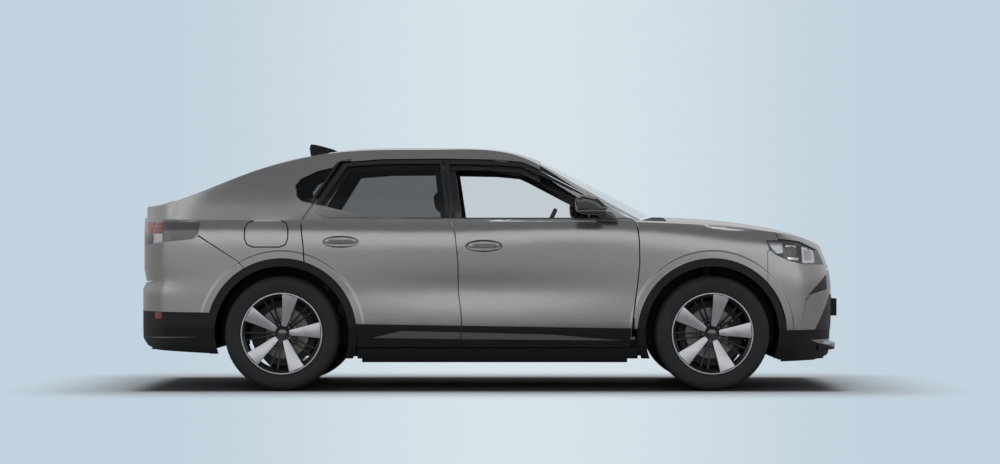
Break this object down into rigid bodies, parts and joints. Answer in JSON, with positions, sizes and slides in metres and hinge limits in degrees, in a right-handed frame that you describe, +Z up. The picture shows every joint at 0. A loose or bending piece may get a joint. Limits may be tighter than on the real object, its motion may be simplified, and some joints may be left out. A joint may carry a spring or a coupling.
{
  "type": "electric suv",
  "caption": "Mid-size electric coupe SUV with opening doors, bonnet, tailgate and charge flap, steered front wheels and four turning wheels.",
  "frame": {"origin": "on the floor under the middle of the car's length and width", "axes": "+X towards the nose, +Y to the car's left, +Z up"},
  "size_m": [4.634, 2.15, 1.626],
  "materials": {
    "motor_case": "cast",
    "body_paint": "satin metallic",
    "underbody_steel": "coated",
    "battery_case": "coated",
    "black_plastic": "grained",
    "gloss_black": "gloss",
    "seat_fabric": "woven",
    "clear_glass": "polished",
    "lamp_clear": "polished",
    "lamp_red": "gloss",
    "carrier_iron": "cast",
    "wheel_alloy": "machined",
    "tyre": "matte"
  },
  "bodies": {
    "body": {"arch_trims": "black_plastic", "battery_pack": "battery_case", "bay_cover": "black_plastic", "cargo_tub": "black_plastic", "charge_port": "black_plastic", "cowl": "black_plastic", "dashboard": "black_plastic", "drive_unit": "motor_case", "fenders": "body_paint", "floor_pan": "underbody_steel", "front_bumper": "body_paint", "front_frame": "underbody_steel", "front_lower_trim": "black_plastic", "front_seats": "seat_fabric", "headlamps": "lamp_clear", "quarter_glass": "clear_glass", "rear_bench": "seat_fabric", "rear_bumper": "body_paint", "rear_frame": "underbody_steel", "rear_lower_trim": "black_plastic", "roof_fin": "gloss_black", "roof_glass": "clear_glass", "roof_panel": "body_paint", "side_frame_left": "body_paint", "side_frame_right": "body_paint", "sill_trims": "black_plastic", "tail_lamps": "lamp_red", "wheel_liners": "black_plastic", "windscreen": "clear_glass"},
    "door_front_left": {"door_front_left": "body_paint", "glass_front_left": "clear_glass", "mirror_left": "gloss_black"},
    "wheel_front_left": {"wheel_front_left": "wheel_alloy", "tyre_front_left": "tyre"},
    "door_front_right": {"door_front_right": "body_paint", "glass_front_right": "clear_glass", "mirror_right": "gloss_black"},
    "wheel_front_right": {"wheel_front_right": "wheel_alloy", "tyre_front_right": "tyre"},
    "door_rear_left": {"door_rear_left": "body_paint", "glass_rear_left": "clear_glass"},
    "wheel_rear_left": {"wheel_rear_left": "wheel_alloy", "tyre_rear_left": "tyre"},
    "door_rear_right": {"door_rear_right": "body_paint", "glass_rear_right": "clear_glass"},
    "wheel_rear_right": {"wheel_rear_right": "wheel_alloy", "tyre_rear_right": "tyre"},
    "hub_carrier_left": {"knuckle_left": "carrier_iron"},
    "hub_carrier_right": {"knuckle_right": "carrier_iron"},
    "bonnet": {"bonnet": "body_paint"},
    "tailgate": {"tailgate": "body_paint", "rear_glass": "clear_glass", "tailgate_lamps": "lamp_red"},
    "charge_flap": {"charge_flap": "body_paint"},
    "steering_wheel": {"steering_wheel": "black_plastic"}
  },
  "joints": [
    {"name": "door_front_left_hinge", "type": "hinge", "parent": "body", "child": "door_front_left", "pos_m": [0.93, 0.914, 0.7], "axis": [0, 0, -1], "range_deg": [0, 65]},
    {"name": "door_rear_left_hinge", "type": "hinge", "parent": "body", "child": "door_rear_left", "pos_m": [-0.215, 0.917, 0.7], "axis": [0, 0, -1], "range_deg": [0, 70]},
    {"name": "door_front_right_hinge", "type": "hinge", "parent": "body", "child": "door_front_right", "pos_m": [0.93, -0.914, 0.7], "axis": [0, 0, 1], "range_deg": [0, 65]},
    {"name": "door_rear_right_hinge", "type": "hinge", "parent": "body", "child": "door_rear_right", "pos_m": [-0.215, -0.917, 0.7], "axis": [0, 0, 1], "range_deg": [0, 70]},
    {"name": "bonnet_hinge", "type": "hinge", "parent": "body", "child": "bonnet", "pos_m": [1.15, 0, 1.13], "axis": [0, -1, 0], "range_deg": [0, 50]},
    {"name": "tailgate_hinge", "type": "hinge", "parent": "body", "child": "tailgate", "pos_m": [-1.536, 0, 1.457], "axis": [0, 1, 0], "range_deg": [0, 75]},
    {"name": "charge_flap_hinge", "type": "hinge", "parent": "body", "child": "charge_flap", "pos_m": [-1.3, -0.911, 1.01], "axis": [0, 0, 1], "range_deg": [0, 100]},
    {"name": "steer_left", "type": "hinge", "parent": "body", "child": "hub_carrier_left", "pos_m": [1.437, 0.707, 0.37], "axis": [0, 0, 1], "range_deg": [-35, 35]},
    {"name": "steer_right", "type": "hinge", "parent": "body", "child": "hub_carrier_right", "pos_m": [1.437, -0.707, 0.37], "axis": [0, 0, 1], "range_deg": [-35, 35]},
    {"name": "steering_wheel_turn", "type": "hinge", "parent": "body", "child": "steering_wheel", "pos_m": [0.372, 0.37, 1.032], "axis": [-0.9063, 0, 0.4226], "range_deg": [-525, 525]},
    {"name": "wheel_front_left_spin", "type": "hinge", "parent": "hub_carrier_left", "child": "wheel_front_left", "pos_m": [1.437, 0.795, 0.37], "axis": [0, 1, 0], "continuous": true},
    {"name": "wheel_rear_left_spin", "type": "hinge", "parent": "body", "child": "wheel_rear_left", "pos_m": [-1.33, 0.795, 0.37], "axis": [0, 1, 0], "continuous": true},
    {"name": "wheel_front_right_spin", "type": "hinge", "parent": "hub_carrier_right", "child": "wheel_front_right", "pos_m": [1.437, -0.795, 0.37], "axis": [0, 1, 0], "continuous": true},
    {"name": "wheel_rear_right_spin", "type": "hinge", "parent": "body", "child": "wheel_rear_right", "pos_m": [-1.33, -0.795, 0.37], "axis": [0, 1, 0], "continuous": true}
  ],
  "couplings": [
    {"joint": "steer_right", "follows": "steer_left", "ratio": 1},
    {"joint": "steering_wheel_turn", "follows": "steer_left", "ratio": 15}
  ]
}
